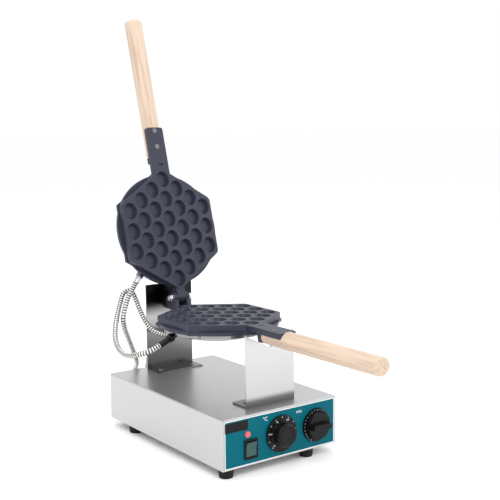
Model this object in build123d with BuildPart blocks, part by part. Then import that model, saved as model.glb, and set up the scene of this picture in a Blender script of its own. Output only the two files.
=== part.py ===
"""Rotating bubble waffle maker: a steel control box that carries two hinged cast pans on a turning shaft.

Millimetres. The origin is on the table, under the middle of the box. +X is right and +Y is the rear,
seen from the front panel. The lid stands open at rest.
"""

from build123d import *

import os
from math import cos, pi, radians, sin, tan

os.makedirs("parts", exist_ok=True)

# Control box
box_width = 230.0
box_length = 361.0
box_height = 82.0
sheet = 1.2
box_bend = 2.5
panel_gap = 0.2
overlay_border = 2.0
overlay_thickness = 0.5
foot_height = 15.0
foot_radius = 13.0
foot_taper = 2.0
foot_front_inset = 15.0
foot_rear_inset = 63.0
foot_left_inset = 16.0
foot_right_inset = 52.0
foot_screw_radius = 2.0
foot_screw_length = 9.0

# Brackets
bracket_sheet = 2.5
bracket_width = 98.0
bracket_flange = 36.0
bracket_bend = 2.5
front_bracket_y = -150.0
front_bracket_height = 118.0
notch_depth = 24.0
rear_bracket_y = 156.5
rear_bracket_height = 160.0
bracket_screw_spacing = 68.0
bracket_screw_radius = 2.0
bracket_screw_head = 4.0

# Pans and their axes
split_z = 224.0
pan_y = -7.75
face_gap = 1.5
rim_radius = 103.5
rim_thickness = 5.5
plateau_height = 11.0
plateau_half_width = 95.0
plateau_corner = 52.0
plateau_tip = 114.0
plateau_fillet = 12.0
cell_across = 25.95
cell_along = 37.07
cell_radius_across = 13.0
cell_radius_along = 15.25
cell_depth = 8.0
cell_slope = 3.5
cell_columns = 7
longest_column = 6
tang_width = 34.0
tang_end = 191.5
tang_top = 1.5
tang_thickness = 9.5
boss_start = 126.0
boss_length = 14.0
boss_depth = 26.0
tang_slot_length = 11.0
tang_slot_width = 3.0
tang_slot_at = 121.0
lid_open_angle = 106.0

# Hinge and pivot
hinge_back = 126.85
hinge_rise = 11.0
hinge_boss_radius = 9.0
hinge_pin_radius = 4.0
inner_lug_width = 17.0
lug_gap = 0.5
outer_lug_width = 7.0
pivot_block_length = 10.0
pivot_block_gap = 1.0
pivot_block_height = 20.0
hub_radius = 11.0
shaft_radius = 6.0
shaft_seat = 8.0
running_fit = 0.08
loose_fit = 0.2
acorn_radius = 6.5
acorn_length = 8.0
bush_flange_radius = 16.0
bush_flange = 3.0
bush_radius = 9.5
bush_tail = 5.0
bush_nut_radius = 14.0
bush_nut_thickness = 4.0
shaft_nut_radius = 10.5
shaft_nut_thickness = 8.0
shaft_tail = 2.0

# Domed covers and heaters
cover_radius = 96.0
cover_sheet = 1.0
cover_skirt = 6.5
cover_rise = 18.5
cover_seat = 0.2
cover_screw_radius = 2.0
cover_screw_head = 3.1
cover_screw_angles = (55.0, 145.0, 215.0, 305.0)
heater_ring = 62.0
heater_radius = 4.0
heater_seat = 0.3

# Wooden handles
wood_start = 142.0
wood_end = 401.7
wood_width = 32.5
wood_height = 28.6
wood_centre = 14.7
wood_round = 4.0
handle_screw_at = (155.5, 186.0)
handle_screw_radius = 2.2
handle_screw_head = 4.5
handle_screw_length = 17.0

# Conduits and their glands
conduit_radius = 5.0
conduit_gap = 0.3
gland_hex = 8.0
gland_nut = 8.0
ferrule_radius = 5.6
stem_radius = 4.6
stem_length = 8.0
lower_gland_at = (-95.0, 0.0, 28.0)
lower_gland_way = (-0.91, 0.0, 0.41)
lower_gland_length = 28.0
upper_gland_radius = 98.0
upper_gland_angle = -49.5
upper_gland_level = 27.5
upper_gland_length = 20.0
rear_gland_z = 30.0
rear_gland_length = 12.0
lower_rear_gland_x = 0.0
upper_rear_gland_x = -30.0
mains_gland_x = 70.0
mains_gland_bore = 3.6
mains_gland_radius = 9.0
grommet_x = 5.0
grommet_z = 165.0
grommet_radius = 10.0
grommet_lip = 2.0

# Front controls
control_z = 55.0
thermostat_x = -2.0
timer_x = 71.0
dial_radius = 30.0
timer_radius = 28.0
knob_gap = 0.6
dial_thickness = 4.0
grip_height = 16.0
spindle_radius = 3.0
control_body = 40.0
control_body_depth = 28.0
lamp_x = -68.0
lamp_z = 66.5
lamp_radius = 5.0
switch_x = -62.0
switch_z = 42.0
switch_width = 26.0
switch_height = 32.0
switch_bezel = 2.0
switch_wall = 3.0
switch_depth = 20.0
rocker_gap = 0.4
rocker_tilt = 8.0

# Derived places
box_floor = foot_height
box_top = box_floor + box_height
front_y = -box_length / 2
rear_y = box_length / 2
inner_width = box_width - 2 * (sheet + panel_gap)
inner_height = box_height - sheet - panel_gap
axis_z = split_z
hinge_y = pan_y + hinge_back
hinge_z = split_z + hinge_rise
pan_back = face_gap + plateau_height + rim_thickness
screw_slack = 0.1
panel_back = front_y + sheet
overlay_front = front_y - overlay_thickness


def front(y):
    """A plane across the object at y, seen from the front: local x is +X, local y is +Z."""
    return Plane.XZ.offset(-y)


def save(builder, name):
    builder.part.label = name
    export_step(builder.part, f"parts/{name}.step")


def swing(y, z):
    """A vector of the closed lid, carried round the hinge to the open lid."""
    turn = radians(lid_open_angle)
    return y * cos(turn) + z * sin(turn), -y * sin(turn) + z * cos(turn)


# Each half of the waffle iron is drawn on its split plane: x across, y towards the handle, z to its back.
lower_half = Plane(origin=(0, pan_y, split_z), x_dir=(1, 0, 0), z_dir=(0, 0, -1))
lid_y, lid_z = swing(-hinge_back, -hinge_rise)
back_y, back_z = swing(0, 1)
upper_half = Plane(
    origin=(0, hinge_y + lid_y, hinge_z + lid_z), x_dir=(-1, 0, 0), z_dir=(0, back_y, back_z)
)
halves = {"lower": lower_half, "upper": upper_half}


def side(half):
    """The plane through the middle of a half: local x is towards the handle, local y is to its back."""
    return Plane(origin=half.origin, x_dir=half.y_dir, z_dir=half.x_dir)


def hinge_at(half_name):
    return (-hinge_back, -hinge_rise if half_name == "lower" else hinge_rise)


def cell_places():
    """Centres of the egg-shaped cells: seven staggered columns of 3, 4, 5, 6, 5, 4 and 3."""
    places = []
    middle = cell_columns // 2
    for column in range(-middle, middle + 1):
        count = longest_column - abs(column)
        for row in range(count):
            places.append((column * cell_across, (row - (count - 1) / 2) * cell_along))
    return places


def gland_plane(name):
    """Where a cover's conduit gland stands: origin on the cover, z along the conduit."""
    half = halves[name]
    if name == "lower":
        start, way = Vector(*lower_gland_at), Vector(*lower_gland_way)
    else:
        turn = radians(upper_gland_angle)
        way = Vector(cos(turn), sin(turn), 0)
        start = way * upper_gland_radius + Vector(0, 0, upper_gland_level)
    origin = half.from_local_coords(start)
    tip = half.from_local_coords(start + way)
    return Plane(origin=origin, z_dir=tip - origin)


lower_gland = gland_plane("lower")
upper_gland = gland_plane("upper")

# Box shell: top and sides folded from one sheet, open in front, behind and below
with BuildPart() as housing:
    with BuildSketch(Plane.XZ) as shell_profile:
        with Locations((0, box_floor + box_height / 2)):
            Rectangle(box_width, box_height)
        fillet(shell_profile.vertices().group_by(Axis.Y)[-1], box_bend)
        with BuildSketch(Plane.XZ, mode=Mode.SUBTRACT) as hollow:
            with Locations((0, box_floor + (box_height - sheet) / 2)):
                Rectangle(box_width - 2 * sheet, box_height - sheet)
            fillet(hollow.vertices().group_by(Axis.Y)[-1], box_bend - sheet)
    extrude(amount=box_length / 2, both=True)
    for y in (front_bracket_y + bracket_flange * 0.55, rear_bracket_y - bracket_flange * 0.55):
        with Locations((0, y, box_top)):
            with GridLocations(bracket_screw_spacing, 1, 2, 1):
                Hole(bracket_screw_radius + screw_slack, depth=4 * sheet)
save(housing, "housing")

with BuildPart() as bottom_plate:
    with BuildSketch(Plane.XY.offset(box_floor)):
        Rectangle(inner_width, box_length - 2 * (sheet + panel_gap))
    extrude(amount=sheet)
    foot_x = (-box_width / 2 + foot_left_inset, box_width / 2 - foot_right_inset)
    foot_y = (front_y + foot_front_inset, rear_y - foot_rear_inset)
    foot_places = [(x, y) for x in foot_x for y in foot_y]
    with BuildSketch(Plane.XY.offset(box_floor)):
        with Locations(*foot_places):
            Circle(foot_screw_radius + screw_slack)
    extrude(amount=sheet, mode=Mode.SUBTRACT)
save(bottom_plate, "bottom_plate")

with BuildPart() as rubber_feet:
    for x, y in foot_places:
        with BuildSketch(Plane.XY.offset(foot_height)):
            with Locations((x, y)):
                Circle(foot_radius)
        with BuildSketch(Plane.XY):
            with Locations((x, y)):
                Circle(foot_radius - foot_taper)
        loft()
        with BuildSketch(Plane.XY):
            with Locations((x, y)):
                Circle(foot_radius / 2)
        extrude(amount=foot_height * 0.6, mode=Mode.SUBTRACT)
        with BuildSketch(Plane.XY):
            with Locations((x, y)):
                Circle(foot_screw_radius + screw_slack)
        extrude(amount=foot_height, mode=Mode.SUBTRACT)
save(rubber_feet, "rubber_feet")

with BuildPart() as foot_screws:
    head_top = foot_height * 0.6
    with BuildSketch(Plane.XY.offset(head_top)):
        with Locations(*foot_places):
            Circle(foot_radius / 2 - loose_fit)
    extrude(amount=-foot_height * 0.25)
    with BuildSketch(Plane.XY.offset(head_top)):
        with Locations(*foot_places):
            Circle(foot_screw_radius)
    extrude(amount=foot_screw_length)
save(foot_screws, "foot_screws")

# Front panel with its controls' holes, and the printed sheet over it
control_places = [(thermostat_x, control_z), (timer_x, control_z)]


def panel_holes():
    with Locations(*control_places):
        Circle(spindle_radius + loose_fit * 3, mode=Mode.SUBTRACT)
    with Locations((lamp_x, lamp_z)):
        Circle(lamp_radius - 1 + loose_fit, mode=Mode.SUBTRACT)
    with Locations((switch_x, switch_z)):
        Rectangle(
            switch_width - switch_wall + loose_fit,
            switch_height - switch_wall + loose_fit,
            mode=Mode.SUBTRACT,
        )


with BuildPart() as front_panel:
    with BuildSketch(front(panel_back)) as plate:
        with Locations((0, box_floor + inner_height / 2)):
            Rectangle(inner_width, inner_height)
        fillet(plate.vertices().group_by(Axis.Y)[-1], box_bend)
        panel_holes()
    extrude(amount=sheet)
save(front_panel, "front_panel")

with BuildPart() as control_overlay:
    with BuildSketch(front(front_y)):
        with Locations((0, box_floor + inner_height / 2)):
            Rectangle(inner_width - 2 * overlay_border, inner_height - 2 * overlay_border)
        panel_holes()
    extrude(amount=overlay_thickness)
save(control_overlay, "control_overlay")

rear_gland_places = [(lower_rear_gland_x, rear_gland_z), (upper_rear_gland_x, rear_gland_z)]
with BuildPart() as rear_panel:
    with BuildSketch(front(rear_y)) as plate:
        with Locations((0, box_floor + inner_height / 2)):
            Rectangle(inner_width, inner_height)
        fillet(plate.vertices().group_by(Axis.Y)[-1], box_bend)
        with Locations(*rear_gland_places, (mains_gland_x, rear_gland_z)):
            Circle(stem_radius + screw_slack, mode=Mode.SUBTRACT)
    extrude(amount=sheet)
save(rear_panel, "rear_panel")

with BuildPart() as rear_conduit_glands:
    for x, z in rear_gland_places:
        with BuildSketch(front(rear_y)):
            with Locations((x, z)):
                Circle(stem_radius)
        extrude(amount=stem_length)
        with BuildSketch(front(rear_y)):
            with Locations((x, z)):
                RegularPolygon(gland_hex, 6)
        extrude(amount=-rear_gland_length / 2)
        with BuildSketch(front(rear_y)):
            with Locations((x, z)):
                Circle(ferrule_radius)
        extrude(amount=-rear_gland_length)
save(rear_conduit_glands, "rear_conduit_glands")

# Strain relief for the mains lead, with its bore open
with BuildPart() as mains_gland:
    with BuildSketch(front(rear_y)):
        with Locations((mains_gland_x, rear_gland_z)):
            Circle(stem_radius)
    extrude(amount=stem_length)
    with BuildSketch(front(rear_y)):
        with Locations((mains_gland_x, rear_gland_z)):
            Circle(mains_gland_radius)
    extrude(amount=-4.0)
    with BuildSketch(front(rear_y)):
        with Locations((mains_gland_x, rear_gland_z)):
            Circle(mains_gland_radius * 0.7)
    extrude(amount=-14.0, taper=4)
    with BuildSketch(front(rear_y)):
        with Locations((mains_gland_x, rear_gland_z)):
            Circle(mains_gland_bore)
    extrude(amount=20.0, both=True, mode=Mode.SUBTRACT)
save(mains_gland, "mains_gland")


def folded_bracket(plate_y, height, flange_way):
    """An L of sheet: its plate stands at plate_y, its flange lies on the box towards flange_way."""
    near, far = 0.0, flange_way * bracket_flange
    with BuildSketch(Plane.YZ) as fold:
        with BuildLine() as outline:
            back = plate_y - flange_way * bracket_sheet
            Polyline(
                (back, box_top),
                (plate_y + far, box_top),
                (plate_y + far, box_top + bracket_sheet),
                (plate_y + near, box_top + bracket_sheet),
                (plate_y + near, box_top + height),
                (back, box_top + height),
                close=True,
            )
        make_face(outline.edges())
        corner = fold.vertices().sort_by_distance((0, back, box_top))[0]
        fillet(corner, bracket_bend)
    extrude(fold.sketch, amount=bracket_width / 2, both=True)
    hole_y = plate_y + far * 0.55
    with Locations((0, hole_y, box_top + bracket_sheet)):
        with GridLocations(bracket_screw_spacing, 1, 2, 1):
            Hole(bracket_screw_radius + screw_slack, depth=2 * bracket_sheet)


# Front bracket: its top is a wide V in which the handle lies
with BuildPart() as front_bracket:
    folded_bracket(front_bracket_y, front_bracket_height, 1)
    bracket_top = box_top + front_bracket_height
    with BuildSketch(front(front_bracket_y + 1)):
        with BuildLine():
            Polyline(
                (-bracket_width / 2 - 1, bracket_top + 1),
                (-bracket_width / 2, bracket_top),
                (0, bracket_top - notch_depth),
                (bracket_width / 2, bracket_top),
                (bracket_width / 2 + 1, bracket_top + 1),
                close=True,
            )
        make_face()
    extrude(amount=bracket_sheet + 2, mode=Mode.SUBTRACT)
save(front_bracket, "front_bracket")

with BuildPart() as rear_bracket:
    folded_bracket(rear_bracket_y, rear_bracket_height, -1)
    with BuildSketch(front(rear_bracket_y - 1)):
        with Locations((0, axis_z)):
            Circle(bush_radius + screw_slack)
        with Locations((grommet_x, grommet_z)):
            Circle(grommet_radius + screw_slack)
    extrude(amount=-bracket_sheet - 2, mode=Mode.SUBTRACT)
save(rear_bracket, "rear_bracket")

with BuildPart() as bracket_screws:
    for plate_y, way in ((front_bracket_y, 1), (rear_bracket_y, -1)):
        hole_y = plate_y + way * bracket_flange * 0.55
        top = box_top + bracket_sheet
        with BuildSketch(Plane.XY.offset(top)):
            with Locations((0, hole_y)):
                with GridLocations(bracket_screw_spacing, 1, 2, 1):
                    Circle(bracket_screw_head)
        extrude(amount=2.2, taper=12)
        with BuildSketch(Plane.XY.offset(top)):
            with Locations((0, hole_y)):
                with GridLocations(bracket_screw_spacing, 1, 2, 1):
                    Circle(bracket_screw_radius)
        extrude(amount=-(bracket_sheet + sheet + 4.0))
save(bracket_screws, "bracket_screws")

# Turning joint in the rear bracket: bush, its nut, the shaft and the shaft's nut
bracket_back = rear_bracket_y + bracket_sheet
with BuildPart() as rear_bush:
    with BuildSketch(front(rear_bracket_y)):
        with Locations((0, axis_z)):
            Circle(bush_flange_radius)
    extrude(amount=bush_flange)
    with BuildSketch(front(rear_bracket_y)):
        with Locations((0, axis_z)):
            Circle(bush_radius)
    extrude(amount=-(bracket_sheet + bush_tail))
    with BuildSketch(front(rear_bracket_y)):
        with Locations((0, axis_z)):
            Circle(shaft_radius + running_fit)
    extrude(amount=bracket_sheet + bush_tail + bush_flange + 1, both=True, mode=Mode.SUBTRACT)
save(rear_bush, "rear_bush")

with BuildPart() as bush_nut:
    with BuildSketch(front(bracket_back)):
        with Locations((0, axis_z)):
            RegularPolygon(bush_nut_radius, 6)
            Circle(bush_radius + screw_slack, mode=Mode.SUBTRACT)
    extrude(amount=-bush_nut_thickness)
save(bush_nut, "bush_nut")

block_front = hinge_y + hinge_boss_radius + pivot_block_gap
block_back = block_front + pivot_block_length
hub_back = rear_bracket_y - bush_flange - 0.5
bush_end = bracket_back + bush_tail
with BuildPart() as rotor_shaft:
    with BuildSketch(front(hub_back - shaft_seat)):
        with Locations((0, axis_z)):
            Circle(shaft_radius)
    extrude(amount=-(bush_end + 0.5 + shaft_nut_thickness + shaft_tail - hub_back + shaft_seat))
    chamfer(rotor_shaft.faces().sort_by(Axis.Y)[-1].edges(), 1.0)
save(rotor_shaft, "rotor_shaft")

with BuildPart() as shaft_nut:
    with BuildSketch(front(bush_end + 0.5)):
        with Locations((0, axis_z)):
            RegularPolygon(shaft_nut_radius, 6)
            Circle(shaft_radius + screw_slack, mode=Mode.SUBTRACT)
    extrude(amount=-shaft_nut_thickness)
save(shaft_nut, "shaft_nut")


def plateau_outline(grow=0.0):
    """The raised hexagon that holds the cells, with its long tips at the handle and at the hinge."""
    half_width = plateau_half_width + grow
    with BuildLine() as outline:
        Polyline(
            (0, plateau_tip + grow),
            (half_width, plateau_corner),
            (half_width, -plateau_corner),
            (0, -plateau_tip - grow),
            (-half_width, -plateau_corner),
            (-half_width, plateau_corner),
            close=True,
        )
    make_face(outline.edges())


def lug_profile(half_name):
    """Side view of a hinge lug: a round boss at the pin, and an arm into the pan's rear edge."""
    boss_v, boss_w = hinge_at(half_name)
    rim_front = -rim_radius + 14.0
    if half_name == "upper":
        with BuildLine() as outline:
            Polyline(
                (rim_front, 4.0),
                (-plateau_tip, 3.0),
                (boss_v, boss_w - hinge_boss_radius),
                (boss_v, boss_w + hinge_boss_radius),
                (rim_front, pan_back - 2.0),
                close=True,
            )
        make_face(outline.edges())
    else:
        block_v = pan_y - block_back
        with BuildLine() as outline:
            Polyline(
                (rim_front, 4.0),
                (-plateau_tip, 4.0),
                (boss_v + hinge_boss_radius * 0.95, boss_w + 3.0),
                (boss_v, boss_w),
                (block_v, -pivot_block_height / 2),
                (block_v, pivot_block_height / 2),
                (rim_front, pan_back),
                close=True,
            )
        make_face(outline.edges())
    with Locations((boss_v, boss_w)):
        Circle(hinge_boss_radius)


def add_lugs(half_name, half):
    middle = side(half)
    lug_start = inner_lug_width / 2 + lug_gap
    lug_reach = lug_start + outer_lug_width
    if half_name == "upper":
        with BuildSketch(middle) as lug:
            lug_profile(half_name)
        extrude(lug.sketch, amount=inner_lug_width / 2, both=True)
    else:
        for way in (1, -1):
            with BuildSketch(middle.offset(way * lug_start)) as lug:
                lug_profile(half_name)
            extrude(lug.sketch, amount=way * outer_lug_width)
        with BuildSketch(front(block_front)) as block:
            with Locations((0, axis_z)):
                Rectangle(2 * lug_reach, pivot_block_height)
        extrude(block.sketch, amount=-pivot_block_length)
        with BuildSketch(front(block_back - 1)) as hub:
            with Locations((0, axis_z)):
                Circle(hub_radius)
        extrude(hub.sketch, amount=-(hub_back - block_back + 1))
        with BuildSketch(front(hub_back - shaft_seat)) as seat_hole:
            with Locations((0, axis_z)):
                Circle(shaft_radius + screw_slack / 2)
        extrude(seat_hole.sketch, amount=-shaft_seat - 1, mode=Mode.SUBTRACT)
    with BuildSketch(middle) as pin_hole:
        with Locations(hinge_at(half_name)):
            Circle(hinge_pin_radius + running_fit)
    extrude(pin_hole.sketch, amount=lug_reach + 1, both=True, mode=Mode.SUBTRACT)


# The two halves: cast pan, domed cover, screws, heater, gland, wooden handle
for half_name, half in halves.items():
    tang_back = tang_top + tang_thickness
    with BuildPart() as pan:
        with BuildSketch(half.offset(pan_back - rim_thickness)) as rim:
            Circle(rim_radius)
            plateau_outline(1.5)
            fillet(rim.vertices().filter_by(lambda v: abs(v.Y) > rim_radius), plateau_fillet)
        extrude(amount=rim_thickness)
        with BuildSketch(half.offset(face_gap)) as plateau:
            plateau_outline()
            fillet(plateau.vertices(), plateau_fillet)
        extrude(amount=plateau_height)
        with BuildSketch(half.offset(tang_top)) as tang:
            with Locations((0, (plateau_tip - 24 + tang_end) / 2)):
                Rectangle(tang_width, tang_end - plateau_tip + 24)
            fillet(tang.vertices().group_by(Axis.Y)[-1], 4.0)
        extrude(amount=tang_thickness)
        with BuildSketch(half.offset(tang_back)):
            with Locations((0, boss_start + boss_length / 2)):
                Rectangle(tang_width - 8, boss_length)
        extrude(amount=boss_depth - tang_back, taper=5)
        add_lugs(half_name, half)
        for place in cell_places():
            with BuildSketch(half.offset(face_gap)):
                with Locations(place):
                    Ellipse(cell_radius_across, cell_radius_along)
            with BuildSketch(half.offset(face_gap + cell_depth)):
                with Locations(place):
                    Ellipse(cell_radius_across - cell_slope, cell_radius_along - cell_slope)
            loft(mode=Mode.SUBTRACT)
        with BuildSketch(half.offset(0)):
            with Locations((0, tang_slot_at)):
                SlotOverall(tang_slot_length, tang_slot_width)
        extrude(amount=tang_top + 2.5, mode=Mode.SUBTRACT)
        with BuildSketch(half.offset(0)):
            with Locations(*[(0, v) for v in handle_screw_at]):
                Circle(handle_screw_radius + screw_slack)
        extrude(amount=tang_back + 1, mode=Mode.SUBTRACT)
        with BuildSketch(half.offset(0)):
            with Locations(*[(0, v) for v in handle_screw_at]):
                Circle(handle_screw_head + loose_fit)
        extrude(amount=tang_top + 2.5, mode=Mode.SUBTRACT)
    save(pan, f"{half_name}_pan")

    seat = pan_back + cover_seat
    crown = seat + cover_skirt + cover_rise
    gland = lower_gland if half_name == "lower" else upper_gland
    middle = side(half)
    with BuildPart() as cover:
        with BuildSketch(Plane(origin=half.origin, x_dir=half.x_dir, z_dir=-half.y_dir)):
            with BuildLine():
                edge, inner, top = cover_radius, cover_radius - cover_sheet, seat + cover_skirt
                shoulder = crown - cover_rise * 0.25
                Line((inner, seat), (edge, seat))
                Line((edge, seat), (edge, top))
                ThreePointArc((edge, top), (edge / 2, shoulder), (0, crown))
                Line((0, crown), (0, crown - cover_sheet))
                ThreePointArc((0, crown - cover_sheet), (edge / 2, shoulder - cover_sheet * 1.04), (inner, top))
                Line((inner, top), (inner, seat))
            make_face()
        revolve(axis=Axis(half.origin, half.z_dir))
        with BuildSketch(gland.offset(-stem_length - 6)):
            Circle(stem_radius + screw_slack)
        extrude(amount=stem_length + 10, mode=Mode.SUBTRACT)
        for angle in cover_screw_angles:
            way = Vector(cos(radians(angle)), sin(radians(angle)), 0)
            root = Vector(0, 0, seat + cover_skirt / 2) + way * (cover_radius - 4)
            place = half.from_local_coords(root)
            tip = half.from_local_coords(root + way)
            with BuildSketch(Plane(origin=place, z_dir=tip - place)):
                Circle(cover_screw_radius + screw_slack)
            extrude(amount=8, mode=Mode.SUBTRACT)
    save(cover, f"{half_name}_cover")

    with BuildPart() as screws:
        for angle in cover_screw_angles:
            way = Vector(cos(radians(angle)), sin(radians(angle)), 0)
            root = Vector(0, 0, seat + cover_skirt / 2) + way * (cover_radius - 6)
            place = half.from_local_coords(root)
            tip = half.from_local_coords(root + way)
            shank = Plane(origin=place, z_dir=tip - place)
            with BuildSketch(shank):
                Circle(cover_screw_radius)
            extrude(amount=6.3)
            with BuildSketch(shank.offset(6.1)):
                Circle(cover_screw_head)
            extrude(amount=1.8, taper=15)
    save(screws, f"{half_name}_cover_screws")

    with BuildPart() as heater:
        ring_level = pan_back + heater_seat + heater_radius
        with BuildSketch(Plane(origin=half.origin, x_dir=half.x_dir, z_dir=-half.y_dir)):
            with Locations((heater_ring, ring_level)):
                Circle(heater_radius)
        revolve(axis=Axis(half.origin, half.z_dir), revolution_arc=330)
    save(heater, f"{half_name}_heater")

    with BuildPart() as gland_body:
        length = lower_gland_length if half_name == "lower" else upper_gland_length
        with BuildSketch(gland.offset(-stem_length)):
            Circle(stem_radius)
        extrude(amount=stem_length + 2)
        with BuildSketch(gland.offset(1.0)):
            RegularPolygon(gland_hex, 6)
        extrude(amount=gland_nut)
        with BuildSketch(gland.offset(1.0)):
            Circle(ferrule_radius)
        extrude(amount=length - 1.0)
    save(gland_body, f"{half_name}_gland")

    with BuildPart() as handle:
        grip_plane = Plane(
            origin=half.from_local_coords((0, wood_start, wood_centre)), x_dir=half.x_dir, z_dir=half.y_dir
        )
        with BuildSketch(grip_plane):
            Ellipse(wood_width / 2, wood_height / 2)
        extrude(amount=wood_end - wood_start)
        outer_end = handle.faces().sort_by(Axis(half.origin, half.y_dir))[-1]
        fillet(outer_end.edges(), wood_round)
        with BuildSketch(half.offset(0)):
            with Locations((0, (wood_start + tang_end) / 2)):
                Rectangle(wood_width + 10, tang_end - wood_start + 0.6)
        extrude(amount=tang_back + 0.1, mode=Mode.SUBTRACT)
        with BuildSketch(half.offset(0)):
            with Locations(*[(0, v) for v in handle_screw_at]):
                Circle(handle_screw_radius + screw_slack)
        extrude(amount=tang_top + 2.5 + handle_screw_length + 1, mode=Mode.SUBTRACT)
    save(handle, f"{half_name}_handle")

    with BuildPart() as wood_screws:
        with BuildSketch(half.offset(tang_top + 2.5)):
            with Locations(*[(0, v) for v in handle_screw_at]):
                Circle(handle_screw_radius)
        extrude(amount=handle_screw_length)
        with BuildSketch(half.offset(tang_top + 2.5)):
            with Locations(*[(0, v) for v in handle_screw_at]):
                Circle(handle_screw_head)
        extrude(amount=-2.2)
    save(wood_screws, f"{half_name}_handle_screws")

# Hinge pin, with a domed nut at each end
pin_half = inner_lug_width / 2 + lug_gap + outer_lug_width + 0.3
hinge_side = Plane(origin=(0, hinge_y, hinge_z), x_dir=(0, 1, 0), z_dir=(1, 0, 0))
with BuildPart() as hinge_pin:
    with BuildSketch(hinge_side):
        Circle(hinge_pin_radius)
    extrude(amount=pin_half + acorn_length * 0.5, both=True)
save(hinge_pin, "hinge_pin")

with BuildPart() as hinge_nuts:
    for way in (1, -1):
        with BuildSketch(hinge_side.offset(way * pin_half)):
            RegularPolygon(acorn_radius, 6)
        extrude(amount=way * acorn_length * 0.55)
        with BuildSketch(hinge_side.offset(way * pin_half)):
            Circle(acorn_radius * 0.82)
        extrude(amount=way * acorn_length, taper=8)
        with BuildSketch(hinge_side.offset(way * pin_half)):
            Circle(hinge_pin_radius + screw_slack / 2)
        extrude(amount=way * (acorn_length * 0.5 + 0.1), mode=Mode.SUBTRACT)
save(hinge_nuts, "hinge_nuts")

# Rubber grommet where the lower conduit goes through the rear bracket
with BuildPart() as bracket_grommet:
    with BuildSketch(front(rear_bracket_y)):
        with Locations((grommet_x, grommet_z)):
            Circle(grommet_radius)
    extrude(amount=-bracket_sheet)
    for y, way in ((rear_bracket_y, 1), (bracket_back, -1)):
        with BuildSketch(front(y)):
            with Locations((grommet_x, grommet_z)):
                Circle(grommet_radius + grommet_lip)
        extrude(amount=way * 1.5)
    with BuildSketch(front(rear_bracket_y)):
        with Locations((grommet_x, grommet_z)):
            Circle(conduit_radius + 2.0)
    extrude(amount=10, both=True, mode=Mode.SUBTRACT)
save(bracket_grommet, "bracket_grommet")

# Controls
for knob_name, knob_x, radius in (
    ("thermostat", thermostat_x, dial_radius),
    ("timer", timer_x, timer_radius),
):
    with BuildPart() as control:
        with BuildSketch(front(panel_back)):
            with Locations((knob_x, control_z)):
                Rectangle(control_body, control_body)
        extrude(amount=-control_body_depth)
        fillet(control.edges().filter_by(Axis.Y), 3.0)
        with BuildSketch(front(panel_back)):
            with Locations((knob_x, control_z)):
                Circle(spindle_radius + loose_fit)
        extrude(amount=-control_body_depth * 0.6, mode=Mode.SUBTRACT)
    save(control, f"{knob_name}_body")

    back = overlay_front - knob_gap
    with BuildPart() as spindle:
        with BuildSketch(front(panel_back + control_body_depth * 0.5)):
            with Locations((knob_x, control_z)):
                Circle(spindle_radius)
        extrude(amount=panel_back + control_body_depth * 0.5 - back + grip_height * 0.6)
    save(spindle, f"{knob_name}_spindle")

    with BuildPart() as knob:
        with BuildSketch(front(back)):
            with Locations((knob_x, control_z)):
                Circle(radius)
        extrude(amount=dial_thickness, taper=10)
        core = radius * (0.66 if knob_name == "thermostat" else 0.85)
        with BuildSketch(front(back - dial_thickness)):
            with Locations((knob_x, control_z)):
                Circle(core)
        extrude(amount=grip_height * 0.45, taper=12)
        with BuildSketch(front(back - dial_thickness)) as bar:
            with Locations((knob_x, control_z)):
                Rectangle(core * 1.7, core * 0.52)
            fillet(bar.vertices(), core * 0.2)
        extrude(amount=grip_height, taper=5)
        with BuildSketch(front(back)):
            with Locations((knob_x, control_z)):
                Circle(spindle_radius + screw_slack / 2)
        extrude(amount=grip_height * 0.6 + 0.2, mode=Mode.SUBTRACT)
    save(knob, f"{knob_name}_knob")

with BuildPart() as pilot_lamp:
    with BuildSketch(front(overlay_front)):
        with Locations((lamp_x, lamp_z)):
            Circle(lamp_radius)
    extrude(amount=1.5)
    with BuildSketch(front(overlay_front - 1.5)):
        with Locations((lamp_x, lamp_z)):
            Circle(lamp_radius - 1)
    extrude(amount=2.0, taper=30)
    with BuildSketch(front(overlay_front)):
        with Locations((lamp_x, lamp_z)):
            Circle(lamp_radius - 1)
    extrude(amount=-18.0)
save(pilot_lamp, "pilot_lamp")

opening_width = switch_width - 2 * switch_wall
opening_height = switch_height - 2 * switch_wall
with BuildPart() as switch_body:
    with BuildSketch(front(overlay_front)) as bezel:
        with Locations((switch_x, switch_z)):
            Rectangle(switch_width, switch_height)
        fillet(bezel.vertices(), 1.5)
    extrude(amount=switch_bezel)
    with BuildSketch(front(overlay_front)):
        with Locations((switch_x, switch_z)):
            Rectangle(switch_width - switch_wall, switch_height - switch_wall)
    extrude(amount=-switch_depth)
    with BuildSketch(front(overlay_front - switch_bezel)):
        with Locations((switch_x, switch_z)):
            Rectangle(opening_width, opening_height)
    extrude(amount=-(switch_bezel + 12.0), mode=Mode.SUBTRACT)
save(switch_body, "switch_body")

# Rocker: a shallow V seen from the side, pressed in at its lower half
rocker_y = overlay_front + 3.0
rocker_half = opening_height / 2 - rocker_gap - 1.0
with BuildPart() as switch_rocker:
    with BuildSketch(Plane.YZ.offset(switch_x)):
        with BuildLine():
            lean = rocker_half * tan(radians(rocker_tilt))
            face = rocker_y - 5.0
            Polyline(
                (face + lean / 2 - 1.0, switch_z - rocker_half),
                (face, switch_z),
                (face - lean - 0.6, switch_z + rocker_half),
                (rocker_y + 2.0, switch_z + rocker_half * 0.75),
                (rocker_y + 4.0, switch_z),
                (rocker_y + 2.0, switch_z - rocker_half * 0.75),
                close=True,
            )
        make_face()
    extrude(amount=opening_width / 2 - rocker_gap, both=True)
save(switch_rocker, "switch_rocker")

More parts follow.
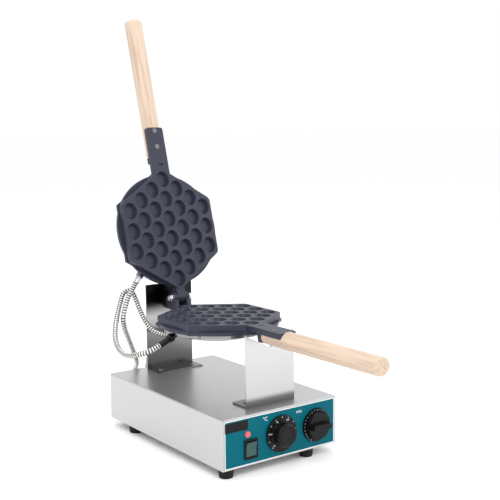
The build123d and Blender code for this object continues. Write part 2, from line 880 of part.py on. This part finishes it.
with BuildPart() as terminal_block:
    with BuildSketch(Plane.XY.offset(box_floor + sheet + 0.1)):
        with Locations((20, 90)):
            Rectangle(60, 22)
    extrude(amount=16)
    with BuildSketch(Plane.XY.offset(box_floor + sheet + 16.1)):
        with Locations((20, 90)):
            with GridLocations(12, 1, 4, 1):
                Circle(2.2)
    extrude(amount=-6, mode=Mode.SUBTRACT)
save(terminal_block, "terminal_block")

# Flexible conduits: straight runs joined by tangent arcs, from each cover's gland to the rear panel
rear_gland_end = rear_y + rear_gland_length + conduit_gap
conduit_start = 13.0
lower_route = [
    (-144.5, -2.0, 174.5),
    (-154.0, 13.0, 169.0),
    (-156.5, 40.0, 162.5),
    (-153.0, 73.0, 165.0),
    (-145.0, 102.0, 177.0),
    (-132.0, 125.0, 194.0),
    (-117.0, 144.0, 211.0),
    (-104.0, 156.0, 229.0),
    (-93.0, 163.0, 249.0),
    (-76.0, 162.0, 251.0),
    (-71.0, 154.0, 229.0),
    (-66.0, 146.0, 206.0),
    (-58.0, 136.0, 184.0),
    (-42.0, 127.0, 170.0),
    (-19.0, 126.0, 165.5),
    (-2.0, 135.0, 165.0),
    (5.0, 150.0, 165.0),
    (5.0, 171.0, 164.5),
    (5.0, 197.0, 153.0),
    (4.0, 219.0, 134.0),
    (2.0, 236.0, 110.0),
    (1.0, 246.0, 84.0),
    (0.0, 244.0, 57.0),
    (0.0, 224.0, 30.0),
]
upper_route = [
    (-97.0, 138.5, 243.0),
    (-108.0, 132.0, 224.0),
    (-113.0, 131.0, 205.0),
    (-107.0, 137.0, 187.0),
    (-95.0, 148.0, 169.0),
    (-79.0, 163.0, 146.0),
    (-62.0, 182.0, 122.0),
    (-45.0, 204.0, 102.0),
    (-35.0, 228.0, 88.0),
    (-31.0, 244.0, 68.0),
    (-30.0, 241.0, 45.0),
    (-30.0, 223.0, 30.0),
]


def conduit_path(gland_face, end, middle_points):
    """The corners of a conduit's route, and the radius of its bend at each."""
    points = [gland_face.origin, gland_face.offset(conduit_start).origin]
    points += [Vector(*point) for point in middle_points] + [Vector(*end)]
    radii = []
    for before, here, after in zip(points, points[1:], points[2:]):
        one, two = here - before, after - here
        half_turn = radians(one.get_angle(two)) / 2
        radii.append(0.45 * min(one.length, two.length) / tan(half_turn))
    return points, radii


for conduit_name, gland, length, route, rear_x in (
    ("lower_conduit", lower_gland, lower_gland_length, lower_route, lower_rear_gland_x),
    ("upper_conduit", upper_gland, upper_gland_length, upper_route, upper_rear_gland_x),
):
    end = (rear_x, rear_gland_end, rear_gland_z)
    points, radii = conduit_path(gland.offset(length + conduit_gap), end, route)
    with BuildPart() as conduit:
        with BuildLine() as path:
            FilletPolyline(*points, radius=radii)
        with BuildSketch(Plane(origin=path.line @ 0, z_dir=path.line % 0)):
            Circle(conduit_radius)
        sweep()
    save(conduit, conduit_name)
    tube = path.wires()[0].length
    share = conduit.part.volume / (tube * pi * conduit_radius**2)
    print(conduit_name, f"length {tube:.0f} mm, smallest radius {min(radii):.0f} mm, volume share {share:.3f}")
    print(conduit_name, "radii", [round(radius) for radius in radii])
    print(conduit_name, "corners", [[round(x, 2) for x in point] for point in points])
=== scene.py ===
"""The look of a rotating bubble waffle maker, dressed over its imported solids. Metres, in their frame."""

import math

import bpy
from mathutils import Matrix, Vector


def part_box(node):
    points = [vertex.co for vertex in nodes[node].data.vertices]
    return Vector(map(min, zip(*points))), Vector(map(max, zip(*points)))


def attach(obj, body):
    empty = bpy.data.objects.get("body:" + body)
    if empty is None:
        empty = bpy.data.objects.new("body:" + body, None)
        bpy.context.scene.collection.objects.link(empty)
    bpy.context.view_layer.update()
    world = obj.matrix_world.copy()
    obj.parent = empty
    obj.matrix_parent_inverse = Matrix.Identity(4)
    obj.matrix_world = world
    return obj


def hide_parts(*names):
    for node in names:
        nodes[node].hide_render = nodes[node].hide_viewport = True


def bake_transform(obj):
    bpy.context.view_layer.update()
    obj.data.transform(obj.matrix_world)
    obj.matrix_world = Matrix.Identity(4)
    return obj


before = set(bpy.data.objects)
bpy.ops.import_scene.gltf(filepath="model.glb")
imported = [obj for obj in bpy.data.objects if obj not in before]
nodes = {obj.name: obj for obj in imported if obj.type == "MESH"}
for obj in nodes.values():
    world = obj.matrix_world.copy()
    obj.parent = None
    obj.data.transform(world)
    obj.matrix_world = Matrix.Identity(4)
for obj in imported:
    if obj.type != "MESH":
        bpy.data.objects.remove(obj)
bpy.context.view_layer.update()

MM = 0.001

# Colours, linear
STEEL = (0.56, 0.56, 0.57)
BRIGHT = (0.72, 0.72, 0.73)
SCREW = (0.20, 0.20, 0.21)
DARK_METAL = (0.03, 0.03, 0.032)
HOSE_METAL = (0.66, 0.66, 0.64)
# Painted shade in the grooves of the hoses
HOSE_GROOVE_SHADE = (0.015, 0.015, 0.015)
DARK_CAST = (0.026, 0.029, 0.050)
WOOD = (0.64, 0.50, 0.39)
WOOD_DARK = (0.50, 0.37, 0.28)
BLACK = (0.005, 0.005, 0.006)
RUBBER = (0.010, 0.010, 0.010)
TEAL = (0.0, 0.115, 0.155)
GREEN = (0.006, 0.060, 0.050)
LAMP_RED = (0.75, 0.10, 0.10)
MOULDING = (0.75, 0.75, 0.72)
WHITE = (0.85, 0.85, 0.85)
FLOOR = (0.99, 0.99, 0.99)

# How much more blue than red the painted reflections and shade on the steel are
STEEL_BLUENESS = 1.01


def surface(name, colour, rough, metallic=0.0, coat=0.0, specular=0.5):
    """A material and its shader."""
    material = bpy.data.materials.new(name)
    material.use_nodes = True
    shader = material.node_tree.nodes["Principled BSDF"]
    shader.inputs["Base Color"].default_value = (*colour, 1.0)
    shader.inputs["Roughness"].default_value = rough
    shader.inputs["Metallic"].default_value = metallic
    shader.inputs["Coat Weight"].default_value = coat
    shader.inputs["Specular IOR Level"].default_value = specular
    return material, shader


def plain(name, colour, rough, **settings):
    """A material that is the same all over."""
    return surface(name, colour, rough, **settings)[0]


def noise(material, scale, fineness, detail=3.0, lean=0.0):
    """A noise in object coordinates, leaned about X, and finer along each axis by its share."""
    tree = material.node_tree
    coords = tree.nodes.new("ShaderNodeTexCoord")
    mapping = tree.nodes.new("ShaderNodeMapping")
    mapping.vector_type = "TEXTURE"
    mapping.inputs["Rotation"].default_value = (lean, 0.0, 0.0)
    mapping.inputs["Scale"].default_value = [1 / share for share in fineness]
    texture = tree.nodes.new("ShaderNodeTexNoise")
    texture.inputs["Scale"].default_value = scale
    texture.inputs["Detail"].default_value = detail
    tree.links.new(coords.outputs["Object"], mapping.inputs["Vector"])
    tree.links.new(mapping.outputs["Vector"], texture.inputs["Vector"])
    return texture


def add_bump(material, shader, texture, strength, distance):
    tree = material.node_tree
    bump = tree.nodes.new("ShaderNodeBump")
    bump.inputs["Strength"].default_value = strength
    bump.inputs["Distance"].default_value = distance
    tree.links.new(texture.outputs["Fac"], bump.inputs["Height"])
    tree.links.new(bump.outputs["Normal"], shader.inputs["Normal"])


def add_ramp(material, source, target, stops):
    """Leads a value to a socket of the shader through a ramp of (place, colour) stops."""
    tree = material.node_tree
    node = tree.nodes.new("ShaderNodeValToRGB")
    elements = node.color_ramp.elements
    while len(elements) < len(stops):
        elements.new(0.5)
    for element, (place, colour) in zip(elements, stops):
        element.position = place
        element.color = (*colour, 1.0)
    tree.links.new(source, node.inputs["Fac"])
    tree.links.new(node.outputs["Color"], target)


def brushed(name, colour, rough, fineness):
    """Sheet metal whose roughness varies a little across its brushing."""
    material, shader = surface(name, colour, rough, metallic=1.0)
    texture = noise(material, scale=60.0, fineness=fineness)
    smoothest, roughest = rough - 0.05, rough + 0.07
    stops = ((0.35, 3 * (smoothest,)), (0.65, 3 * (roughest,)))
    add_ramp(material, texture.outputs["Fac"], shader.inputs["Roughness"], stops)
    add_bump(material, shader, texture, strength=0.008, distance=0.1 * MM)
    return material


def painted_reflection_steel(name, rough, reflection_tones, span):
    """Polished steel with painted reflections and shade in its colour, as (share, tone) stops over a span
    of heights.
    """
    material, shader = surface(name, STEEL, rough, metallic=1.0)
    tree = material.node_tree
    coords = tree.nodes.new("ShaderNodeTexCoord")
    split = tree.nodes.new("ShaderNodeSeparateXYZ")
    share = tree.nodes.new("ShaderNodeMapRange")
    share.inputs["From Min"].default_value = span[0]
    share.inputs["From Max"].default_value = span[1]
    tree.links.new(coords.outputs["Object"], split.inputs["Vector"])
    tree.links.new(split.outputs["Z"], share.inputs["Value"])
    # The base colour darkens and lightens with height: painted reflections and shade
    stops = [(place, (tone, tone, tone * STEEL_BLUENESS)) for place, tone in reflection_tones]
    add_ramp(material, share.outputs["Result"], shader.inputs["Base Color"], stops)
    return material


def cast_surface(name, colour, rough):
    """A coated casting with a fine grain."""
    material, shader = surface(name, colour, rough, specular=0.35)
    texture = noise(material, scale=900.0, fineness=(1, 1, 1))
    add_bump(material, shader, texture, strength=0.12, distance=0.4 * MM)
    return material


def wooden(name, lean):
    """Pale wood, with the grain along a handle that leans back from the horizontal."""
    material, shader = surface(name, WOOD, rough=0.5, specular=0.25)
    texture = noise(material, scale=24.0, fineness=(7.0, 0.5, 7.0), detail=6.0, lean=lean)
    stops = ((0.32, WOOD_DARK), (0.56, WOOD))
    add_ramp(material, texture.outputs["Fac"], shader.inputs["Base Color"], stops)
    add_bump(material, shader, texture, strength=0.08, distance=0.5 * MM)
    return material


def heights(node):
    """The span of heights of a node."""
    low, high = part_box(node)
    return low.z, high.z


# Tones of painted reflections and shade on the polished steel, and the spans of heights of those of the
# covers
FRONT_PAINTED_REFLECTIONS = ((0.0, 0.14), (0.08, 0.2), (0.14, 0.5), (1.0, 0.62))
REAR_PAINTED_REFLECTIONS = ((0.0, 0.14), (0.4, 0.24), (0.62, 0.42), (0.8, 0.02))
COVER_PAINTED_REFLECTIONS = ((0.0, 0.04), (0.2, 0.3), (0.5, 0.75), (0.85, 0.25))
COVER_HEIGHTS = (176 * MM, 206 * MM)
LID_COVER_PAINTED_REFLECTIONS = ((0.0, 0.2), (0.4, 0.5), (1.0, 0.25))
LID_COVER_HEIGHTS = (260 * MM, 500 * MM)

# How far the upper handle leans back from the horizontal
UPPER_HANDLE_LEAN = math.radians(73.9)

steel_sheet = brushed("steel_sheet", STEEL, rough=0.34, fineness=(1.0, 18.0, 1.0))
# The brackets' and the covers' steel carries painted reflections and shade, in bands up its height
steel_front = painted_reflection_steel("steel_front", rough=0.3, reflection_tones=FRONT_PAINTED_REFLECTIONS, span=heights("front_bracket"))
steel_rear = painted_reflection_steel("steel_rear", rough=0.22, reflection_tones=REAR_PAINTED_REFLECTIONS, span=heights("rear_bracket"))
steel_dome = painted_reflection_steel("steel_dome", rough=0.14, reflection_tones=COVER_PAINTED_REFLECTIONS, span=COVER_HEIGHTS)
steel_lid_dome = painted_reflection_steel("steel_lid_dome", rough=0.14, reflection_tones=LID_COVER_PAINTED_REFLECTIONS, span=LID_COVER_HEIGHTS)
screw_metal = plain("screw_metal", SCREW, rough=0.25, metallic=1.0)
dark_metal = plain("dark_metal", DARK_METAL, rough=0.3, metallic=1.0)
bright = plain("bright_plate", BRIGHT, rough=0.2, metallic=1.0)
hose_metal = plain("hose_metal", HOSE_METAL, rough=0.22, metallic=1.0)
hose_groove_shade = plain("hose_groove_shade", HOSE_GROOVE_SHADE, rough=0.6, specular=0.1)
cast = cast_surface("non_stick_cast", DARK_CAST, rough=0.42)
wood_lower = wooden("wood_lower", lean=0.0)
wood_upper = wooden("wood_upper", lean=UPPER_HANDLE_LEAN)
black = plain("black_plastic", BLACK, rough=0.28, specular=0.18)
rubber = plain("black_rubber", RUBBER, rough=0.6, specular=0.2)
teal = plain("teal_film", TEAL, rough=0.45, specular=0.08)
white_print = plain("white_print", WHITE, rough=0.5)
lamp_red = plain("red_lamp", LAMP_RED, rough=0.2, coat=0.5)
green = plain("green_rocker", GREEN, rough=0.2, coat=0.2)
moulding = plain("white_moulding", MOULDING, rough=0.5)

FINISHES = (
    (steel_sheet, ("housing", "bottom_plate", "front_panel", "rear_panel")),
    (steel_front, ("front_bracket",)),
    (steel_rear, ("rear_bracket",)),
    (steel_dome, ("lower_cover",)),
    (steel_lid_dome, ("upper_cover",)),
    (cast, ("lower_pan", "upper_pan")),
    (wood_lower, ("lower_handle",)),
    (wood_upper, ("upper_handle",)),
    (rubber, ("rubber_feet", "bracket_grommet")),
    (teal, ("control_overlay",)),
    (black, ("mains_gland", "switch_body", "thermostat_knob", "timer_knob")),
    (lamp_red, ("pilot_lamp",)),
    (green, ("switch_rocker",)),
    (moulding, ("thermostat_body", "timer_body", "terminal_block")),
    (dark_metal, ("rear_bush", "lower_gland")),
    (screw_metal, (
        "bracket_screws", "lower_cover_screws", "upper_cover_screws",
        "lower_handle_screws", "upper_handle_screws",
    )),
    (bright, (
        "foot_screws", "rear_conduit_glands", "upper_gland", "lower_heater", "upper_heater", "bush_nut",
        "rotor_shaft", "shaft_nut", "hinge_pin", "hinge_nuts", "thermostat_spindle", "timer_spindle",
    )),
)
for material, names in FINISHES:
    for name in names:
        for slot in nodes[name].material_slots:
            slot.material = material


def add_mesh(name, vertices, faces, material, smooth=False):
    mesh = bpy.data.meshes.new(name)
    mesh.from_pydata(vertices, [], faces)
    mesh.update()
    if smooth:
        mesh.polygons.foreach_set("use_smooth", [True] * len(mesh.polygons))
    piece = bpy.data.objects.new(name, mesh)
    bpy.context.scene.collection.objects.link(piece)
    mesh.materials.append(material)
    return piece


def tube_faces(rings, ring_points):
    """The walls between one ring of points and the next, and then a cap on the first and the last."""
    faces = []
    for i in range(rings - 1):
        for k in range(ring_points):
            a, b = i * ring_points + k, i * ring_points + (k + 1) % ring_points
            faces.append((a, b, b + ring_points, a + ring_points))
    last = (rings - 1) * ring_points
    faces.append(tuple(reversed(range(ring_points))))
    faces.append(tuple(range(last, last + ring_points)))
    return faces


# Flexible conduits: control points of their routes, as in the solids, in millimetres
LOWER_ROUTE = (
    (-120.8, -7.75, 184.37), (-132.65, -7.75, 179.03), (-144.5, -2.0, 174.5), (-154.0, 13.0, 169.0),
    (-156.5, 40.0, 162.5), (-153.0, 73.0, 165.0), (-145.0, 102.0, 177.0), (-132.0, 125.0, 194.0),
    (-117.0, 144.0, 211.0), (-104.0, 156.0, 229.0), (-93.0, 163.0, 249.0), (-76.0, 162.0, 251.0),
    (-71.0, 154.0, 229.0), (-66.0, 146.0, 206.0), (-58.0, 136.0, 184.0), (-42.0, 127.0, 170.0),
    (-19.0, 126.0, 165.5), (-2.0, 135.0, 165.0), (5.0, 150.0, 165.0), (5.0, 171.0, 164.5),
    (5.0, 197.0, 153.0), (4.0, 219.0, 134.0), (2.0, 236.0, 110.0), (1.0, 246.0, 84.0),
    (0.0, 244.0, 57.0), (0.0, 224.0, 30.0), (0.0, 192.8, 30.0),
)
UPPER_ROUTE = (
    (-76.83, 145.13, 265.92), (-85.27, 142.41, 256.41), (-97.0, 138.5, 243.0), (-108.0, 132.0, 224.0),
    (-113.0, 131.0, 205.0), (-107.0, 137.0, 187.0), (-95.0, 148.0, 169.0), (-79.0, 163.0, 146.0),
    (-62.0, 182.0, 122.0), (-45.0, 204.0, 102.0), (-35.0, 228.0, 88.0), (-31.0, 244.0, 68.0),
    (-30.0, 241.0, 45.0), (-30.0, 223.0, 30.0), (-30.0, 192.8, 30.0),
)
HOSE_RADIUS = 5.0 * MM
HOSE_RING = 18
RIB_DEPTH = 1.0 * MM
RIB_PITCH = 4.5 * MM
RIB_SHARPNESS = 1.5
RIB_STEPS = 6
# Steps of each rib whose faces get the painted shade of the grooves
SHADED_GROOVE_STEPS = (2, 3)
CURVE_STEPS = 24
ROUNDING = 1e-9


def nurbs_line(name, route):
    """The points of a NURBS spline through a route, read from the curve."""
    curve = bpy.data.curves.new(name, "CURVE")
    curve.dimensions = "3D"
    curve.resolution_u = CURVE_STEPS
    spline = curve.splines.new("NURBS")
    spline.points.add(len(route) - 1)
    for point, place in zip(spline.points, route):
        point.co = (*(x * MM for x in place), 1.0)
    spline.use_endpoint_u = True
    spline.order_u = 3
    holder = bpy.data.objects.new(name, curve)
    mesh = bpy.data.meshes.new_from_object(holder)
    line = [v.co.copy() for v in mesh.vertices]
    bpy.data.objects.remove(holder)
    bpy.data.meshes.remove(mesh)
    return line


def rib_points(line):
    """Evenly spaced points along a line, in steps for a whole number of ribs, and its length."""
    total = sum((b - a).length for a, b in zip(line, line[1:]))
    count = RIB_STEPS * round(total / RIB_PITCH)
    spacing = total / count
    result, walked, target = [line[0].copy()], 0.0, spacing
    for a, b in zip(line, line[1:]):
        run = (b - a).length
        while target <= walked + run + ROUNDING and len(result) < count:
            result.append(a.lerp(b, (target - walked) / run))
            target += spacing
        walked += run
    result.append(line[-1].copy())
    return result, total


def ribbed_hose(name, line):
    """A hose with rounded ribs along a line, with painted shade in its grooves, and its length."""
    points, total = rib_points(line)
    befores, afters = points[:1] + points[:-1], points[1:] + points[-1:]
    tangents = [(after - before).normalized() for before, after in zip(befores, afters)]
    side = tangents[0].orthogonal().normalized()
    vertices = []
    for i, (point, tangent) in enumerate(zip(points, tangents)):
        side = (side - side.dot(tangent) * tangent).normalized()
        other = tangent.cross(side)
        sink = (0.5 - 0.5 * math.cos(2 * math.pi * i / RIB_STEPS)) ** RIB_SHARPNESS
        radius = HOSE_RADIUS - RIB_DEPTH * sink
        for k in range(HOSE_RING):
            angle = 2 * math.pi * k / HOSE_RING
            vertices.append(point + radius * (math.cos(angle) * side + math.sin(angle) * other))
    hose = add_mesh(name, vertices, tube_faces(len(points), HOSE_RING), hose_metal, smooth=True)
    # Faces in the grooves take the painted shade
    hose.data.materials.append(hose_groove_shade)
    for i in range(len(points) - 1):
        if i % RIB_STEPS in SHADED_GROOVE_STEPS:
            for k in range(HOSE_RING):
                hose.data.polygons[i * HOSE_RING + k].material_index = 1
    return hose, total


def nearest(line, place):
    """The index of a line's point closest to a place of its route, in millimetres."""
    target = Vector(place) * MM
    return min(range(len(line)), key=lambda i: (line[i] - target).length)


# The upper hose crosses two joints, so it is two lengths. Both ride wholly on the rotor between the
# two places below, in millimetres, and meet there
MEETING_PLACE = UPPER_ROUTE[4]
ABOVE_MEETING = (-111.2, 131.6, 214.0)
BELOW_MEETING = (-110.8, 133.2, 197.0)
lower_line = nurbs_line("lower_line", LOWER_ROUTE)
whole_upper_line = nurbs_line("upper_line", UPPER_ROUTE)
meet = nearest(whole_upper_line, MEETING_PLACE)
lid_line, upper_line = whole_upper_line[:meet + 1], whole_upper_line[meet:]

# Each hose with its solid, its line, the body that it leaves, the place where it starts to bend and
# the place from which it rides wholly on the rotor
HOSES = (
    ("lower_hose", "lower_conduit", lower_line, "base", LOWER_ROUTE[7], LOWER_ROUTE[1]),
    ("lid_hose", "upper_conduit", lid_line, "lid", UPPER_ROUTE[1], ABOVE_MEETING),
    ("upper_hose", "upper_conduit", upper_line, "base", UPPER_ROUTE[7], BELOW_MEETING),
)
for name, node, line, body, start, end in HOSES:
    hose, length = ribbed_hose(name, line)
    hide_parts(node)
    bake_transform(hose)

# Printed and fitted details of the front panel, placed from the edges of its film
PRINT = 0.12 * MM
PANEL_LINE = 1.3 * MM
BADGE_WIDTH = 44 * MM
BADGE_HEIGHT = 15.3 * MM
BADGE_THICKNESS = 0.3 * MM
BADGE_FROM_LEFT = 0.6 * MM
BADGE_FROM_TOP = 3.6 * MM
WORDS_FROM_TOP = 9.6 * MM
WORDS_RAISE = 0.06 * MM
LETTER_EXTRUDE = 0.05 * MM
BLOCK_FACES = ((3, 2, 1, 0), (4, 5, 6, 7), (1, 5, 4, 0), (2, 6, 5, 1), (3, 7, 6, 2), (0, 4, 7, 3))
film_low, film_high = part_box("control_overlay")
film_front = film_low.y
left, right = film_low.x, film_high.x
bottom, top = film_low.z, film_high.z


def plate(name, x0, z0, x1, z1, thickness, material):
    """A thin block on the front of the film."""
    outline = ((x0, z0), (x1, z0), (x1, z1), (x0, z1))
    corners = [(x, y, z) for y in (film_front, film_front - thickness) for x, z in outline]
    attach(add_mesh(name, corners, BLOCK_FACES, material), "base")


def text(name, words, x, y, z, size, body):
    """White letters that face the front, centred on a place."""
    curve = bpy.data.curves.new(name, "FONT")
    curve.body = words
    curve.size = size
    curve.align_x = "CENTER"
    curve.align_y = "CENTER"
    curve.extrude = LETTER_EXTRUDE
    piece = bpy.data.objects.new(name, curve)
    bpy.context.scene.collection.objects.link(piece)
    piece.matrix_world = Matrix.Translation((x, y, z)) @ Matrix.Rotation(math.pi / 2, 4, "X")
    curve.materials.append(white_print)
    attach(piece, body)


inner_left, inner_right = left + PANEL_LINE, right - PANEL_LINE
inner_bottom, inner_top = bottom + PANEL_LINE, top - PANEL_LINE
panel_lines = (
    (left, bottom, right, inner_bottom),
    (left, inner_top, right, top),
    (left, inner_bottom, inner_left, inner_top),
    (inner_right, inner_bottom, right, inner_top),
)
for i, bar in enumerate(panel_lines):
    plate(f"panel_line_{i}", *bar, PRINT, white_print)

badge_left, badge_top = left + BADGE_FROM_LEFT, top - BADGE_FROM_TOP
badge_right, badge_bottom = badge_left + BADGE_WIDTH, badge_top - BADGE_HEIGHT
plate("panel_badge", badge_left, badge_bottom, badge_right, badge_top, BADGE_THICKNESS, black)

for name, words, x, size in (
    ("celsius_mark", "°C", -33 * MM, 9 * MM),
    ("minutes_mark", "min", 36 * MM, 8 * MM),
):
    text(name, words, x, film_front - WORDS_RAISE, top - WORDS_FROM_TOP, size, "base")

# Dials: marks on both, and the thermostat's round cap. Their radii are shares of the dial's own, and
# the profiles have the share of the skirt's or the cap's depth beside each
SKIRT_DEPTH = 4.0 * MM
SKIRT_PROFILE = ((0.985, 0.0), (1.0, 0.1), (1.0, 0.85), (0.985, 1.0), (0.68, 1.0))
CAP_PROFILE = (
    (0.66, 0.04), (0.645, 0.74), (0.62, 0.88), (0.57, 0.965),
    (0.5, 1.0), (0.44, 1.0), (0.42, 0.965), (0.2, 0.95),
)
DIAL_RING = 64
MARK_HALF_WIDTH = 0.35 * MM
LONG_MARK_END = 0.955
SHORT_MARK_END = 0.94
SHORT_MARK_INSET = 0.06
FIGURE_INSET = 0.09
FIGURE_SIZE = 3.6 * MM
FIGURE_RAISE = 0.05 * MM


def dial_place(body):
    """The middle and the radius of a dial, and the y of its back and its front."""
    low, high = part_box(body + "_knob")
    return (low + high) / 2, (high.x - low.x) / 2, high.y, low.y


def clock_angle(i, count, sweep):
    """The angle of one of a number of places, clockwise over a sweep about the top."""
    return math.radians(90 + sweep / 2 - sweep * i / (count - 1))


def dial_marks(body, count, sweep, mark_start, figures):
    """White scale lines on a dial's skirt, long and short in turn, and figures inside them."""
    centre, outer, back, _ = dial_place(body)
    skirt = back - SKIRT_DEPTH
    vertices, faces = [], []
    for i in range(count):
        angle = clock_angle(i, count, sweep)
        radial = Vector((math.cos(angle), 0, math.sin(angle)))
        across = Vector((-math.sin(angle), 0, math.cos(angle))) * MARK_HALF_WIDTH
        if i % 2 == 0:
            r0, r1 = outer * mark_start, outer * LONG_MARK_END
        else:
            r0, r1 = outer * (mark_start + SHORT_MARK_INSET), outer * SHORT_MARK_END
        first = len(vertices)
        for y in (skirt, skirt - PRINT):
            middle = Vector((centre.x, y, centre.z))
            for r, sign in ((r0, -1), (r1, -1), (r1, 1), (r0, 1)):
                vertices.append(middle + radial * r + across * sign)
        faces += [tuple(first + k for k in face) for face in BLOCK_FACES]
    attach(add_mesh(body + "_scale", vertices, faces, white_print), body)
    for i, figure in enumerate(figures):
        angle = clock_angle(i, len(figures), sweep)
        r = outer * (mark_start - FIGURE_INSET)
        x, z = centre.x + math.cos(angle) * r, centre.z + math.sin(angle) * r
        text(f"{body}_figure_{i}", figure, x, skirt - FIGURE_RAISE, z, FIGURE_SIZE, body)


def turned_dial(body):
    """A dial with a round cap, turned about its own axis, in place of its solid."""
    centre, outer, back, front = dial_place(body)
    cap_depth = back - front - SKIRT_DEPTH
    profile = [(r, SKIRT_DEPTH * share) for r, share in SKIRT_PROFILE]
    profile += [(r, SKIRT_DEPTH + cap_depth * share) for r, share in CAP_PROFILE]
    vertices = []
    for r, depth in profile:
        for k in range(DIAL_RING):
            angle = 2 * math.pi * k / DIAL_RING
            x, z = centre.x + outer * r * math.cos(angle), centre.z + outer * r * math.sin(angle)
            vertices.append((x, back - depth, z))
    dial = add_mesh(body + "_dial", vertices, tube_faces(len(profile), DIAL_RING), black)
    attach(dial, body)
    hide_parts(body + "_knob")


dial_marks(
    "thermostat", count=21, sweep=270, mark_start=0.88, figures=("50", "100", "150", "200", "250", "300")
)
dial_marks("timer", count=25, sweep=300, mark_start=0.91, figures=())
turned_dial("thermostat")

# Floor, lights and world
FLOOR_HALF = 60.0
floor_corners = [(x * FLOOR_HALF, y * FLOOR_HALF, 0) for x, y in ((-1, -1), (1, -1), (1, 1), (-1, 1))]
floor_material = plain("studio_floor", FLOOR, rough=0.9)
add_mesh("studio_floor", floor_corners, [(0, 1, 2, 3)], floor_material)

LIGHT_TARGET = Vector((0.0, -0.05, 0.2))


def area_light(name, place, size, power):
    light = bpy.data.lights.new(name, "AREA")
    light.shape = "DISK"
    light.size = size
    light.energy = power
    holder = bpy.data.objects.new(name, light)
    holder.location = place
    holder.rotation_euler = (LIGHT_TARGET - Vector(place)).to_track_quat("-Z", "Y").to_euler()
    bpy.context.scene.collection.objects.link(holder)


area_light("key_light", (-1.3, -1.5, 2.2), size=1.6, power=26.0)
area_light("side_light", (1.8, -1.0, 1.2), size=1.4, power=12.0)
area_light("top_light", (0.1, 0.6, 2.4), size=1.8, power=14.0)

world = bpy.data.worlds.new("studio_world")
bpy.context.scene.world = world
world.use_nodes = True
background = world.node_tree.nodes["Background"]
background.inputs["Color"].default_value = (1.0, 1.0, 1.0, 1.0)
background.inputs["Strength"].default_value = 1.0

# Camera, as fitted to the photograph
CAMERA_PLACE = (-0.9139, -1.3425, 0.5436)
CAMERA_YAW, CAMERA_PITCH, CAMERA_ROLL = 0.634, 0.129, -0.009
FOCAL_PIXELS, FRAME_PIXELS, SENSOR = 950.1, 500.0, 36.0
forward = Vector((
    math.sin(CAMERA_YAW) * math.cos(CAMERA_PITCH),
    math.cos(CAMERA_YAW) * math.cos(CAMERA_PITCH),
    -math.sin(CAMERA_PITCH),
))
level = Vector((math.cos(CAMERA_YAW), -math.sin(CAMERA_YAW), 0.0))
upright = level.cross(forward)
cos_roll, sin_roll = math.cos(CAMERA_ROLL), math.sin(CAMERA_ROLL)
camera_right = cos_roll * level + sin_roll * upright
camera_up = -sin_roll * level + cos_roll * upright
camera_data = bpy.data.cameras.new("camera")
camera_data.sensor_width = SENSOR
camera_data.lens = FOCAL_PIXELS / FRAME_PIXELS * SENSOR
camera = bpy.data.objects.new("camera", camera_data)
rotation = Matrix((camera_right, camera_up, -forward)).transposed().to_4x4()
camera.matrix_world = Matrix.Translation(CAMERA_PLACE) @ rotation
bpy.context.scene.collection.objects.link(camera)
bpy.context.scene.camera = camera
bpy.context.scene.view_settings.view_transform = "Standard"
